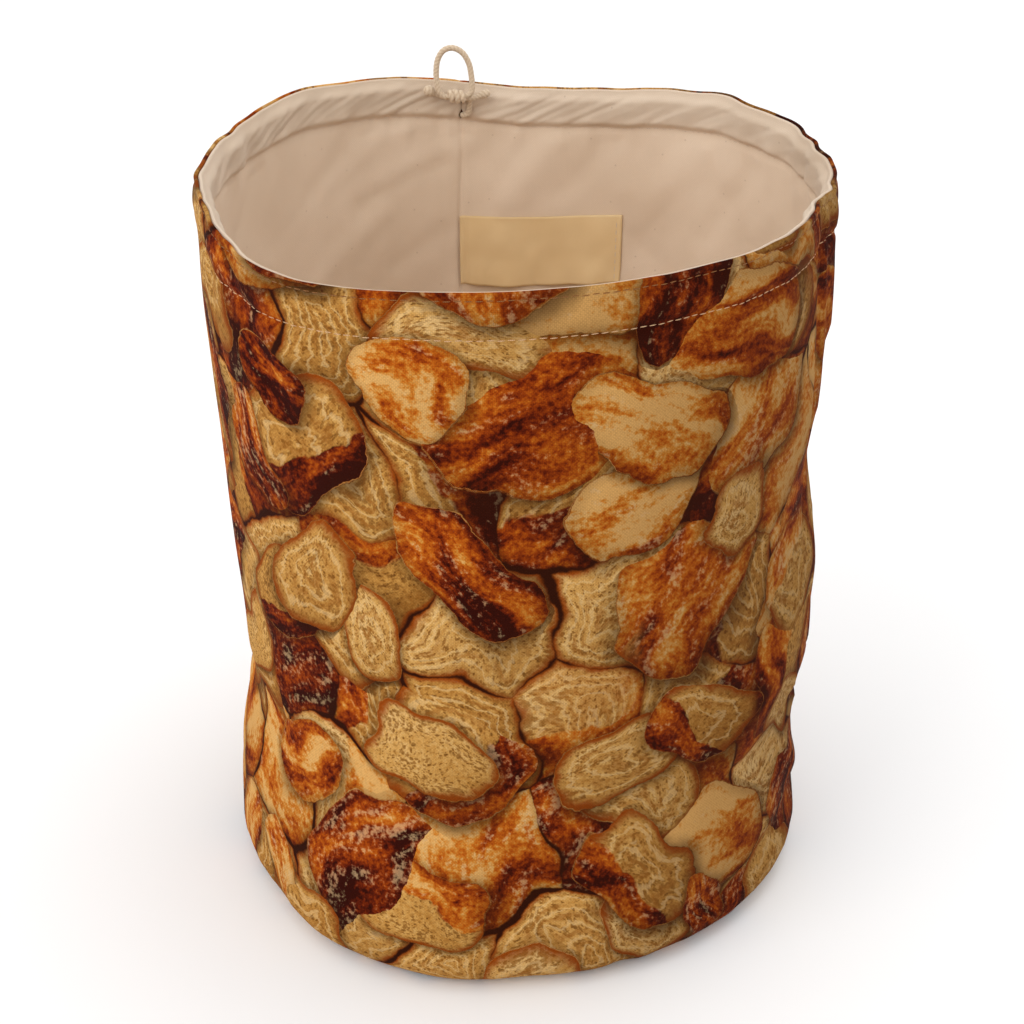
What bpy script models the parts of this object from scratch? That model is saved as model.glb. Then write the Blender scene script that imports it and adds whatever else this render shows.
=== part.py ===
"""Round drawcord bread bag, standing open: printed canvas outside, cotton lining inside.

The bag stands on the origin with its front towards -Y. Sizes are in millimetres until a
point is placed, and angles are in degrees, from +X towards +Y.
"""
import math

import bmesh
import bpy
from mathutils import Vector

MM = 0.001

# Driving sizes
HEIGHT = 304
MEAN_RADIUS = 124
FOOT_TURN = 14
CANVAS = 1.5
LINING = 1.2
LABEL_CLOTH = 1.0
CLOTH_GAP = 0.8
SEAM_GAP = 0.8
CASING = 16
SLIT_HALF_WIDTH = 3.6
BACK_SEAM = 101.3
CORD = 2.6
CORD_GAP = 0.7
LABEL_WIDTH = 73
LABEL_HEIGHT = 32
LABEL_RISE = 213

# Grid of the two walls, which share their columns and most rows so that they nest
COLUMNS = 72
FOOT_ROWS = 4
BODY_ROWS = 13

# Half widths of the body at each height
SECTIONS = (
    # height, left, right, front, back
    (14, 124.4, 126.4, 124.0, 124.0),
    (35, 123.4, 123.9, 124.5, 124.0),
    (50, 121.2, 123.3, 124.0, 123.0),
    (67, 118.2, 122.0, 122.5, 122.0),
    (90, 117.2, 124.0, 120.5, 120.5),
    (107, 116.6, 127.2, 120.0, 120.0),
    (130, 117.2, 126.4, 121.0, 120.5),
    (156, 118.9, 124.6, 122.0, 121.5),
    (194, 120.8, 122.0, 123.0, 123.0),
    (229, 122.9, 124.7, 124.0, 124.5),
    (268, 125.6, 125.4, 125.0, 126.0),
    (304, 125.4, 124.3, 126.0, 127.0),
)

# How the soft rim leaves the even section: outwards and upwards
RIM_REACH = 140
RIM = (
    # angle, out, up
    (0, 0.5, 0.5),
    (20, 3.0, 1.5),
    (34, 4.4, 3.6),
    (47, 5.0, 4.0),
    (62, 4.0, 1.4),
    (85, -1.5, -1.0),
    (100, 2.5, 1.5),
    (112, 5.5, 4.4),
    (125, 6.5, 6.0),
    (140, 5.0, 6.0),
    (160, 1.5, 1.9),
    (188, -0.6, 1.0),
    (203, -0.2, 2.2),
    (214, 3.2, -1.8),
    (226, 6.2, -3.8),
    (238, 6.5, -3.2),
    (258, 4.0, -0.8),
    (285, 1.0, 0.9),
    (310, -1.5, 1.0),
    (330, -5.0, 1.6),
    (347, -3.0, 1.2),
)

# Troughs (out is negative) and ridges of the standing cloth, each from a start to an end
FOLDS = (
    # start angle, start height, end angle, end height, half width, out
    (333, 308, 341, 225, 11, -4.2),
    (349, 308, 351, 250, 10, 2.0),
    (12, 308, 10, 262, 11, -1.8),
    (26, 308, 24, 270, 11, 1.6),
    (40, 308, 43, 275, 12, -1.4),
    (70, 308, 66, 262, 14, -1.6),
    (214, 306, 233, 232, 13, -1.6),
    (300, 300, 296, 250, 16, -1.2),
    (8, 200, 335, 180, 26, -1.5),
    (342, 150, 318, 102, 22, 2.2),
    (356, 92, 312, 72, 14, -2.4),
    (340, 60, 350, 42, 12, 2.0),
    (352, 32, 300, 20, 11, -1.6),
    (160, 98, 214, 92, 16, -2.4),
    (233, 12, 254, 8, 44, 4.8),
    (168, 62, 204, 56, 20, 1.6),
    (292, 46, 291, 10, 9, -1.6),
    (262, 60, 236, 30, 18, 1.2),
    (95, 230, 78, 120, 22, -2.2),
    (128, 150, 112, 60, 20, 2.0),
    (52, 170, 40, 80, 22, -2.0),
)

# Stand-off of the lining in the cord casing, and half the slit left open in the back seam
CHANNEL = CORD + 2 * CORD_GAP - CLOTH_GAP
CASING_ROWS = (
    # below rim, stand-off, slit
    (CASING, 0.0, 0.0),
    (12.5, CHANNEL, SLIT_HALF_WIDTH),
    (9.0, CHANNEL, SLIT_HALF_WIDTH),
    (5.5, CHANNEL, SLIT_HALF_WIDTH),
    (2.5, 0.3, 0.0),
    (0.0, 0.0, 0.0),
)

# Cord routes beside the back seam; along runs to the left as seen from the front
CORD_DEPTH = CANVAS + CORD_GAP + CORD / 2
CORD_BELOW_RIM = 9.0
LEFT_END = (
    # along, below rim, inside
    (-0.5, 5.5, 8.7),
    (0.0, 6.3, 7.6),
    (1.0, 7.0, 5.6),
    (2.5, 7.6, 4.1),
    (4.8, 8.2, 3.5),
)
RIGHT_END = (
    # along, below rim, inside
    (1.5, 9.0, 8.8),
    (0.9, 9.7, 7.6),
    (-0.6, 10.4, 5.6),
    (-2.3, 10.6, 4.1),
    (-4.8, 10.1, 3.5),
)
LOOP = (
    # along, below rim, inside
    (7.0, 6.9, 12.6),
    (9.6, 6.6, 12.7),
    (11.5, 4.2, 12.3),
    (12.0, 0.0, 11.4),
    (11.9, -5.0, 10.2),
    (10.9, -10.0, 9.4),
    (8.3, -14.1, 9.0),
    (4.2, -15.7, 8.8),
    (0.0, -14.1, 9.0),
    (-2.7, -10.0, 9.4),
    (-3.7, -5.0, 10.2),
    (-3.9, 0.0, 11.4),
    (-3.8, 2.8, 12.3),
    (-3.4, 4.8, 12.6),
)
LEFT_TAIL = (
    # along, below rim, inside
    (6.4, 8.3, 10.2),
    (9.4, 8.2, 8.9),
    (12.8, 6.6, 8.7),
    (15.8, 4.2, 8.7),
    (17.9, 2.2, 8.5),
)
RIGHT_TAIL = (
    # along, below rim, inside
    (-2.5, 7.4, 10.4),
    (-5.4, 7.5, 9.0),
    (-8.6, 6.4, 8.6),
    (-11.4, 4.6, 8.5),
    (-13.9, 3.4, 8.4),
)
KNOT_CENTRE = (2.0, 6.6, 12.4)
KNOT_HALF_SIZES = (4.6, 3.2, 3.3)
KNOT_WRAPS = 3
KNOT_RIDGE = 0.14
KNOT_SLANT = 1.2

# Colour, as red, green and blue light, and roughness
PRINTED_CANVAS = ((0.52, 0.25, 0.08), 0.85)
LINING_COTTON = ((0.76, 0.66, 0.54), 0.9)
LABEL_TAPE = ((0.72, 0.57, 0.36), 0.7)
COTTON_CORD = ((0.72, 0.62, 0.5), 0.9)
CREASE_ANGLE = 40

FOOT_ARC = math.pi / 2 * FOOT_TURN
RIM_RUN = FOOT_ARC + HEIGHT - FOOT_TURN
LINING_DEPTH = CANVAS + CLOTH_GAP


def smooth_step(share):
    share = min(1.0, max(0.0, share))
    return share * share * (3 - 2 * share)


def between_rows(rows, key):
    """The other columns of a table at this key, on a smooth curve through its rows."""
    key = min(rows[-1][0], max(rows[0][0], key))
    i = 0
    while i < len(rows) - 2 and key > rows[i + 1][0]:
        i += 1
    before, start, end, after = rows[max(i - 1, 0)], rows[i], rows[i + 1], rows[min(i + 2, len(rows) - 1)]
    span = end[0] - start[0]
    t = (key - start[0]) / span
    values = []
    for a, b, c, d in zip(before[1:], start[1:], end[1:], after[1:]):
        leave = (c - a) / (end[0] - before[0]) * span
        arrive = (d - b) / (after[0] - start[0]) * span
        cubic = (2 * t - 3) * t * t
        values.append((cubic + 1) * b - cubic * c + t * (t - 1) * ((t - 1) * leave + t * arrive))
    return values


def rim_offsets(angle):
    """How far the rim leans out and stands up at this angle."""
    around = [(row[0] - 360, *row[1:]) for row in RIM[-2:]] + list(RIM)
    around += [(row[0] + 360, *row[1:]) for row in RIM[:2]]
    return between_rows(around, angle % 360)


def fold_offset(angle, height):
    """How far the folds move the wall outwards at this place of the cloth."""
    total = 0.0
    for start_angle, start_height, end_angle, end_height, half_width, out in FOLDS:
        turns = [math.radians((a - start_angle + 180) % 360 - 180) for a in (end_angle, angle)]
        line = Vector((turns[0] * MEAN_RADIUS, end_height - start_height))
        here = Vector((turns[1] * MEAN_RADIUS, height - start_height))
        nearest = line * min(1.0, max(0.0, here.dot(line) / line.length_squared))
        reach = (here - nearest).length / half_width
        if reach < 1:
            total += out * (1 - reach * reach) ** 2
    return total


def wall_radius(angle, height):
    """Radius of the canvas' outer face: a quarter ellipse in each corner, the rim's lean and the folds."""
    left, right, front, back = between_rows(SECTIONS, height)
    across, deep = math.cos(math.radians(angle)), math.sin(math.radians(angle))
    half_width = right if across > 0 else left
    half_depth = back if deep > 0 else front
    even = 1 / math.hypot(across / half_width, deep / half_depth)
    lean = rim_offsets(angle)[0] * smooth_step((height - HEIGHT + RIM_REACH) / RIM_REACH)
    return even + lean + fold_offset(angle, height)


def wall_point(angle, run, inside):
    """A point of the bag, in metres: run is the way up the cloth from the base seam, round the
    turned foot, and inside is how far it lies inside the canvas' outer face."""
    if run < FOOT_ARC:
        turn = run / FOOT_TURN
        height = FOOT_TURN - (FOOT_TURN - inside) * math.cos(turn)
        radius = wall_radius(angle, FOOT_TURN) - FOOT_TURN + (FOOT_TURN - inside) * math.sin(turn)
    else:
        rise = (run - FOOT_ARC) / (RIM_RUN - FOOT_ARC)
        height = FOOT_TURN + rise * (HEIGHT - FOOT_TURN + rim_offsets(angle)[1])
        radius = wall_radius(angle, height) - inside
    turned = math.radians(angle)
    return Vector((radius * math.cos(turned), radius * math.sin(turned), height)) * MM


def seam_point(along, below_rim, inside):
    """A point beside the back seam, by its distances along the rim, below it and inside the canvas."""
    return wall_point(BACK_SEAM + math.degrees(along / MEAN_RADIUS), RIM_RUN - below_rim, inside)


def body_runs(rows_above):
    """The rows of a wall: those of the foot, those of the body, and then the given ones."""
    foot = [FOOT_ARC * i / FOOT_ROWS for i in range(FOOT_ROWS)]
    step = (RIM_RUN - CASING - FOOT_ARC) / BODY_ROWS
    return foot + [FOOT_ARC + step * i for i in range(BODY_ROWS)] + rows_above


def finished(name, data, finish):
    """A new object with its own plain material."""
    obj = bpy.data.objects.new(name, data)
    bpy.context.scene.collection.objects.link(obj)
    material = bpy.data.materials.new(name)
    material.use_nodes = True
    shader = material.node_tree.nodes["Principled BSDF"]
    colour, roughness = finish
    shader.inputs["Base Color"].default_value = (*colour, 1)
    shader.inputs["Roughness"].default_value = roughness
    data.materials.append(material)
    return obj


def cloth(name, bm, thickness, finish):
    """Turns one face layer, its outer side out, into a sheet of this thickness."""
    mesh = bpy.data.meshes.new(name)
    bm.to_mesh(mesh)
    bm.free()
    mesh.shade_smooth()
    mesh.set_sharp_from_angle(angle=math.radians(CREASE_ANGLE))
    sheet = finished(name, mesh, finish)
    solidify = sheet.modifiers.new("cloth", "SOLIDIFY")
    solidify.thickness = thickness * MM
    solidify.offset = -1
    solidify.use_even_offset = True
    return sheet


def bent_grid(columns, rows, place):
    """A grid whose points go where place(column, row) says, with edges that meet joined."""
    bm = bmesh.new()
    bmesh.ops.create_grid(bm, x_segments=columns, y_segments=rows, size=0.5)
    for vert in bm.verts:
        vert.co = place(round((vert.co.x + 0.5) * columns), round((vert.co.y + 0.5) * rows))
    bmesh.ops.remove_doubles(bm, verts=bm.verts, dist=1e-6)
    return bm


def outer_wall():
    """The printed canvas, a tube turned in at the foot and folded over at the rim."""
    runs = body_runs([RIM_RUN - CASING, RIM_RUN])

    def place(column, row):
        return wall_point(BACK_SEAM + 360 * column / COLUMNS, runs[row], 0)

    cloth("outer_wall", bent_grid(COLUMNS, len(runs) - 1, place), CANVAS, PRINTED_CANVAS)


def lining_wall():
    """The lining, which stands off the canvas in the casing and has the cord's slit in its seam."""
    rows = body_runs([])
    rows = [(run, 0.0, 0.0) for run in rows] + [(RIM_RUN - row[0], row[1], row[2]) for row in CASING_ROWS]

    def place(column, row):
        run, stand_off, slit = rows[row]
        side = {0: 1, COLUMNS: -1}.get(column, 0)
        angle = BACK_SEAM + 360 * column / COLUMNS + side * math.degrees(slit / MEAN_RADIUS)
        return wall_point(angle, run, LINING_DEPTH + stand_off)

    cloth("lining_wall", bent_grid(COLUMNS, len(rows) - 1, place), LINING, LINING_COTTON)


def base(name, depth, thickness, finish):
    """A round of cloth inside the turned foot of a wall whose outer face lies this deep."""
    bm = bmesh.new()
    bmesh.ops.create_circle(bm, cap_ends=True, segments=COLUMNS, radius=1)
    for vert in bm.verts:
        edge = wall_point(BACK_SEAM + math.degrees(math.atan2(vert.co.y, vert.co.x)), 0, depth)
        flat = edge.xy * (1 - SEAM_GAP * MM / edge.xy.length)
        vert.co = Vector((flat.x, flat.y, (depth + thickness) * MM))
    cloth(name, bm, thickness, finish)


def label():
    """The plain label, sewn to the lining beside the back seam."""
    columns, rows = 14, 4
    depth = LINING_DEPTH + LINING + CLOTH_GAP
    lowest = FOOT_ARC + LABEL_RISE - FOOT_TURN

    def place(column, row):
        angle = BACK_SEAM - math.degrees(LABEL_WIDTH / (MEAN_RADIUS - depth)) * (1 - column / columns)
        return wall_point(angle, lowest + LABEL_HEIGHT * row / rows, depth)

    cloth("label", bent_grid(columns, rows, place), LABEL_CLOTH, LABEL_TAPE)


def smooth_path(points, steps):
    """Points on a smooth curve through the given ones, in this many steps from each to the next."""
    ends = [2 * points[0] - points[1]] + points + [2 * points[-1] - points[-2]]
    path = []
    for a, b, c, d in zip(ends, ends[1:], ends[2:], ends[3:]):
        for i in range(steps):
            t = i / steps
            path.append(
                b + t * (c - a) / 2 + t * t * (a - 2.5 * b + 2 * c - d / 2)
                + t ** 3 * (1.5 * (b - c) + (d - a) / 2)
            )
    return path + [points[-1]]


def cord(name, path):
    """A round cotton cord along these points."""
    curve = bpy.data.curves.new(name, "CURVE")
    curve.dimensions = "3D"
    curve.bevel_depth = CORD / 2 * MM
    curve.bevel_resolution = 2
    curve.use_fill_caps = True
    spline = curve.splines.new("POLY")
    spline.points.add(len(path) - 1)
    for point, place in zip(spline.points, path):
        point.co = (*place, 1)
    spline.use_smooth = True
    finished(name, curve, COTTON_CORD)


def drawcord():
    """The cord: its run round the casing, the loop above the rim, and two short tails."""
    round_rim = []
    for column in range(1, COLUMNS):
        angle = BACK_SEAM + 360 * column / COLUMNS
        round_rim.append(wall_point(angle, RIM_RUN - CORD_BELOW_RIM, CORD_DEPTH))
    ends = [[seam_point(*row) for row in route] for route in (LEFT_END, RIGHT_END)]
    cord("cord_run", ends[0] + round_rim + ends[1][::-1])
    for name, route in (("cord_loop", LOOP), ("tail_left", LEFT_TAIL), ("tail_right", RIGHT_TAIL)):
        cord(name, smooth_path([seam_point(*row) for row in route], 2))


def cord_knot():
    """The knot that holds loop, tails and run together, with the ridges of its wraps."""
    bm = bmesh.new()
    bmesh.ops.create_uvsphere(bm, u_segments=20, v_segments=12, radius=1)
    along, below_rim, inside = KNOT_CENTRE
    for vert in bm.verts:
        slant = math.atan2(vert.co.z, vert.co.y) - KNOT_SLANT * vert.co.x
        ridge = 1 - KNOT_RIDGE * (1 - abs(vert.co.x)) * (0.5 + 0.5 * math.cos(KNOT_WRAPS * slant))
        x, y, z = (ridge * half * c for half, c in zip(KNOT_HALF_SIZES, vert.co))
        vert.co = seam_point(along + x, below_rim - z, inside - y)
    bmesh.ops.reverse_faces(bm, faces=bm.faces)
    mesh = bpy.data.meshes.new("cord_knot")
    bm.to_mesh(mesh)
    bm.free()
    mesh.shade_smooth()
    finished("cord_knot", mesh, COTTON_CORD)


for old in list(bpy.data.objects):
    bpy.data.objects.remove(old, do_unlink=True)
outer_wall()
base("outer_base", 0, CANVAS, PRINTED_CANVAS)
lining_wall()
base("lining_base", LINING_DEPTH, LINING, LINING_COTTON)
label()
drawcord()
cord_knot()
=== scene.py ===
"""Looks of the round drawcord bread bag: canvas, lining, label, sewing and drawcord.

Lengths are in millimetres and angles in degrees, from +X towards +Y, until a point is placed
in the frame, which is in metres. The front of the bag is towards -Y.
"""

import math

import bmesh
import bpy
from mathutils import Matrix, Vector, noise


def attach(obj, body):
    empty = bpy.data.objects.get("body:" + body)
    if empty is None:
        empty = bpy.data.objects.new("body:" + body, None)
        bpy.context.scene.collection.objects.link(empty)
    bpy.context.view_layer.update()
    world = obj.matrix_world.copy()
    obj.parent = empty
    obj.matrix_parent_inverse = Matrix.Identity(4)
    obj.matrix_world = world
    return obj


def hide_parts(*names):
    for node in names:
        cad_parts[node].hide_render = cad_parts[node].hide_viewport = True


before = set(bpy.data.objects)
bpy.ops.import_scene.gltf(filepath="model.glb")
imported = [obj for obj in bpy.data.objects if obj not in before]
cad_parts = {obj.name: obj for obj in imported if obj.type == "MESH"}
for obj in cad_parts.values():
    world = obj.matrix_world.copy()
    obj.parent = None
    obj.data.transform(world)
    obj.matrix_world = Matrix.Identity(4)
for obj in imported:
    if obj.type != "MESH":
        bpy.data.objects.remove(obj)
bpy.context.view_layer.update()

# The camera
# It stands in front of the bag, above its rim, and looks down into it. A small shift puts
# the bag's middle as far beside the middle of the image as it is in the photograph.
CAMERA_BACK = 0.7086
CAMERA_UP = 0.5309
LOOK_DOWN = 28.0
IMAGE_SIZE = 1024
FOCAL_LENGTH_IN_PIXELS = 1885.4
BAG_BESIDE_MIDDLE = 4
camera = bpy.data.objects.new("camera", bpy.data.cameras.new("camera"))
bpy.context.scene.collection.objects.link(camera)
bpy.context.scene.camera = camera
camera.location = (0, -CAMERA_BACK, CAMERA_UP)
camera.rotation_euler = (math.radians(90 - LOOK_DOWN), 0, 0)
camera.data.lens = FOCAL_LENGTH_IN_PIXELS / IMAGE_SIZE * camera.data.sensor_width
camera.data.shift_x = -BAG_BESIDE_MIDDLE / IMAGE_SIZE
camera.data.clip_start = 0.01

# The canvas wall
# One panel of printed cotton canvas, closed to a tube by a seam at the back. It is turned in
# at the foot, where the base is sewn in, and rolled over at the rim, where it is top-stitched.
# A second row of lock stitches below the rim holds canvas and lining together under the cord.
MM = 0.001
HEIGHT = 304
MEAN_RADIUS = 124
FOOT_TURN = 14
BACK_SEAM = 101.3
SECTIONS = (
    # height, left, right, front, back
    (14, 124.4, 126.4, 124.0, 124.0),
    (35, 123.4, 123.9, 124.5, 124.0),
    (50, 121.2, 123.3, 124.0, 123.0),
    (67, 118.2, 122.0, 122.5, 122.0),
    (90, 117.2, 124.0, 120.5, 120.5),
    (107, 116.6, 127.2, 120.0, 120.0),
    (130, 117.2, 126.4, 121.0, 120.5),
    (156, 118.9, 124.6, 122.0, 121.5),
    (194, 120.8, 122.0, 123.0, 123.0),
    (229, 122.9, 124.7, 124.0, 124.5),
    (268, 125.6, 125.4, 125.0, 126.0),
    (304, 125.4, 124.3, 126.0, 127.0),
)
RIM_REACH = 140
RIM = (
    # angle, out, up
    (0, 0.5, 0.5),
    (20, 3.0, 1.5),
    (34, 4.4, 3.6),
    (47, 5.0, 4.0),
    (62, 4.0, 1.4),
    (85, -1.5, -1.0),
    (100, 2.5, 1.5),
    (112, 5.5, 4.4),
    (125, 6.5, 6.0),
    (140, 5.0, 6.0),
    (160, 1.5, 1.9),
    (188, -2.2, 1.0),
    (203, -1.2, 2.0),
    (214, 2.4, -1.2),
    (226, 5.4, -3.0),
    (238, 6.5, -3.2),
    (258, 4.0, -0.8),
    (285, 1.0, 0.9),
    (310, -0.6, 1.0),
    (325, -2.0, 1.2),
    (339, -3.9, 1.4),
    (350, -2.8, 1.2),
)
FOLDS = (
    # start angle, start height, end angle, end height, half width, out
    (340, 308, 343, 225, 9, -1.8),
    (349, 308, 351, 250, 10, 2.0),
    (12, 308, 10, 262, 11, -1.8),
    (26, 308, 24, 270, 11, 1.6),
    (40, 308, 43, 275, 12, -1.4),
    (70, 308, 66, 262, 14, -1.6),
    (214, 306, 233, 232, 13, -1.6),
    (300, 300, 296, 250, 16, -1.2),
    (8, 200, 335, 180, 26, -1.5),
    (342, 150, 318, 102, 22, 2.2),
    (356, 92, 312, 72, 14, -2.4),
    (340, 60, 350, 42, 12, 2.0),
    (352, 32, 300, 20, 11, -1.6),
    (160, 98, 214, 92, 16, -2.4),
    (233, 12, 254, 8, 44, 4.8),
    (168, 62, 204, 56, 20, 1.6),
    (292, 46, 291, 10, 9, -1.6),
    (262, 60, 236, 30, 18, 1.2),
    (95, 230, 78, 120, 22, -2.2),
    (128, 150, 112, 60, 20, 2.0),
    (52, 170, 40, 80, 22, -2.0),
)
CANVAS_CREASES = (
    # start angle, start height, end angle, end height, half width, out
    (337, 300, 343, 200, 3.5, -0.9),
    (343, 298, 347, 215, 5, 0.7),
    (355, 235, 340, 160, 6, -0.8),
    (350, 170, 338, 118, 5, 0.7),
    (346, 112, 352, 84, 4, -1.0),
    (338, 96, 350, 76, 4, 0.9),
    (330, 74, 342, 50, 5, -0.8),
    (318, 130, 300, 96, 7, 0.5),
    (214, 302, 224, 262, 5, 0.7),
    (204, 290, 212, 228, 5, -0.8),
    (196, 180, 214, 132, 6, -0.7),
    (206, 122, 232, 104, 6, 0.6),
    (200, 84, 226, 74, 5, -0.7),
    (290, 60, 293, 14, 4, -0.9),
    (297, 52, 299, 16, 4, 0.6),
    (266, 34, 268, 10, 4, 0.5),
    (240, 180, 258, 150, 9, -0.4),
    (272, 230, 286, 196, 9, 0.4),
    (112, 260, 98, 190, 7, -0.9),
    (88, 150, 76, 96, 7, 0.8),
    (60, 240, 44, 180, 8, -0.8),
    (30, 120, 18, 66, 7, 0.7),
    (140, 210, 128, 150, 8, -0.8),
    (160, 160, 172, 110, 7, 0.7),
)
RIPPLE = 1.7
RIPPLE_REACH = 34
RIPPLE_WIDTH = 13
RIM_WAVE_WIDTH = 19
LONG_LUMP = 30
CASING = 17.5
TOP_STITCH = 3.0
CASING_SWELL = 0.9
CASING_CREASE = 0.8
RIM_CREASE = 0.4
CASING_PUCKERS = 0.4
FOOT_PUCKERS = 0.55
SEAM_RIDGE = 0.5
SEAM_CREASE = 0.8
CANVAS_LUMPS = (
    # out, width, height
    (0.55, 46, 60),
    (0.2, 15, 22),
)
CANVAS = 0.6
CANVAS_ROLL = 0.75
HEM = 5.0
CANVAS_COLUMNS = 372
BODY_ROWS = 74
FINE_ROWS = 28
FINE_REACH = 24
FOOT_STEPS = 8
ROLL_STEPS = 8
FOOT_ARC = math.pi / 2 * FOOT_TURN
RIM_RUN = FOOT_ARC + HEIGHT - FOOT_TURN
TURNED_IN = (
    # up the cloth, inside its even face: the seam allowance at the foot
    (0, 2.4),
    (0, 1.2),
    (0.3, 0.35),
    (1.2, 0.0),
)


def smooth_step(share):
    """0 up to a share of 0, 1 from 1 on, and smooth between them."""
    share = min(1.0, max(0.0, share))
    return share * share * (3 - 2 * share)


def hump(distance, half_width):
    """1 in the middle of a soft ridge, and 0 at and past its half width."""
    reach = distance / half_width
    return (1 - reach * reach) ** 2 if abs(reach) < 1 else 0.0


def between_rows(rows, key):
    """The other columns of a table at this key, on a smooth curve through its rows."""
    key = min(rows[-1][0], max(rows[0][0], key))
    i = 0
    while i < len(rows) - 2 and key > rows[i + 1][0]:
        i += 1
    before, start = rows[max(i - 1, 0)], rows[i]
    end, after = rows[i + 1], rows[min(i + 2, len(rows) - 1)]
    span = end[0] - start[0]
    t = (key - start[0]) / span
    values = []
    for a, b, c, d in zip(before[1:], start[1:], end[1:], after[1:]):
        leave = (c - a) / (end[0] - before[0]) * span
        arrive = (d - b) / (after[0] - start[0]) * span
        cubic = (2 * t - 3) * t * t
        values.append((cubic + 1) * b - cubic * c + t * (t - 1) * ((t - 1) * leave + t * arrive))
    return values


RIM_AROUND = [(row[0] - 360, *row[1:]) for row in RIM[-2:]] + list(RIM)
RIM_AROUND += [(row[0] + 360, *row[1:]) for row in RIM[:2]]


def along_from(angle, start):
    """The way round the wall from one angle to another, the short way, in millimetres."""
    return math.radians((angle - start + 180) % 360 - 180) * MEAN_RADIUS


def creased(folds, angle, height):
    """How far troughs and ridges move the cloth outwards at this place of the wall."""
    total = 0.0
    for start_angle, start_height, end_angle, end_height, half_width, out in folds:
        x, y = along_from(angle, start_angle), height - start_height
        line_x, line_y = along_from(end_angle, start_angle), end_height - start_height
        share = (x * line_x + y * line_y) / (line_x * line_x + line_y * line_y)
        share = min(1.0, max(0.0, share))
        total += out * hump(math.hypot(x - share * line_x, y - share * line_y), half_width)
    return total


def crumple(angle, run, wide, tall):
    """Soft unevenness from -1 to 1, with lumps of about this width and height, closed round the bag."""
    turned = math.radians(angle)
    around = MEAN_RADIUS / wide
    return noise.noise(Vector((around * math.cos(turned), around * math.sin(turned), run / tall)))


def lumpy(lumps, angle, run):
    """Unevenness of a cloth, from a table of how far out, how wide and how tall its lumps are."""
    return sum(out * crumple(angle, run, wide, tall) for out, wide, tall in lumps)


def wall_point(angle, run, inside):
    """A point of the bag, in metres: run is the way up the cloth from the base seam, round the
    turned foot, and inside is how far it lies inside the canvas' even outer face."""
    out, up = between_rows(RIM_AROUND, angle % 360)
    rise = (run - FOOT_ARC) / (RIM_RUN - FOOT_ARC)
    height = max(FOOT_TURN, FOOT_TURN + rise * (HEIGHT - FOOT_TURN + up))
    left, right, front, back = between_rows(SECTIONS, height)
    turned = math.radians(angle)
    across, deep = math.cos(turned), math.sin(turned)
    half_width = right if across > 0 else left
    half_depth = back if deep > 0 else front
    radius = 1 / math.hypot(across / half_width, deep / half_depth)
    radius += out * smooth_step((height - HEIGHT + RIM_REACH) / RIM_REACH) + creased(FOLDS, angle, height)
    ripple = RIPPLE * (0.6 + 0.4 * deep) * smooth_step((run - RIM_RUN + RIPPLE_REACH) / RIPPLE_REACH)
    radius += ripple * crumple(angle, 0.3 * run, RIPPLE_WIDTH, LONG_LUMP)
    height += 0.5 * ripple * crumple(angle + 90, 0, RIM_WAVE_WIDTH, LONG_LUMP)
    if run < FOOT_ARC:
        turn = run / FOOT_TURN
        height = FOOT_TURN - (FOOT_TURN - inside) * math.cos(turn)
        radius += (FOOT_TURN - inside) * math.sin(turn) - FOOT_TURN
    else:
        radius -= inside
    return Vector((radius * across, radius * deep, height)) * MM


def canvas_relief(angle, run):
    """How far the canvas stands out at a place, past its even face: creases, casing, seams, puckers."""
    below = RIM_RUN - run
    height = run - FOOT_ARC + FOOT_TURN
    body = smooth_step((run - 4) / 26)
    beside_seam = along_from(angle, BACK_SEAM)
    out = body * lumpy(CANVAS_LUMPS, angle, run)
    out += body * creased(CANVAS_CREASES, angle, height)
    out += CASING_SWELL * hump(below - CASING / 2 - 1, CASING / 2)
    out -= CASING_CREASE * hump(below - CASING, 2.8) + RIM_CREASE * hump(below - TOP_STITCH, 1.8)
    out += CASING_PUCKERS * crumple(angle, run, 6, 45) * hump(below - CASING, 17)
    out += FOOT_PUCKERS * crumple(angle, run, 8, 60) * hump(run - 24, 20)
    out += body * (SEAM_RIDGE * hump(beside_seam - 5, 6) - SEAM_CREASE * hump(beside_seam, 1.8))
    return out


def over_the_rim(radius, middle, hem):
    """Rows of a cloth rolled over at the rim, and of the hem that hangs behind it, as pairs of
    how far below the rim and how far inside."""
    rows = []
    for step in range(ROLL_STEPS + 1):
        turn = math.pi * step / ROLL_STEPS
        rows.append((CANVAS_ROLL - radius * math.sin(turn), middle - radius * math.cos(turn)))
    return rows + [(hem / 2, rows[-1][1]), (hem, rows[-1][1])]


def bent_grid(columns, rows, place):
    """A grid of quads whose points go where place(column, row) says, with edges that meet
    joined. place gives a point and where it lies on the flat cloth, both in metres."""
    bm = bmesh.new()
    layer = bm.loops.layers.uv.new("UVMap")
    bmesh.ops.create_grid(bm, x_segments=columns, y_segments=rows, size=0.5)
    on_cloth = {}
    for vert in bm.verts:
        column, row = round((vert.co.x + 0.5) * columns), round((vert.co.y + 0.5) * rows)
        vert.co, on_cloth[vert] = place(column, row)
    for face in bm.faces:
        for loop in face.loops:
            loop[layer].uv = on_cloth[loop.vert]
    bmesh.ops.remove_doubles(bm, verts=bm.verts, dist=1e-6)
    return bm


def new_piece(name, bm, material, slot, *nodes):
    """Makes the bmesh a piece of the bag that stands for these nodes of the frame."""
    mesh = bpy.data.meshes.new(name)
    bm.to_mesh(mesh)
    bm.free()
    mesh.shade_smooth()
    mesh.materials.append(material)
    piece = bpy.data.objects.new(name, mesh)
    bpy.context.scene.collection.objects.link(piece)
    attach(piece, "root")
    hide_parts(*nodes)
    return piece


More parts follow.
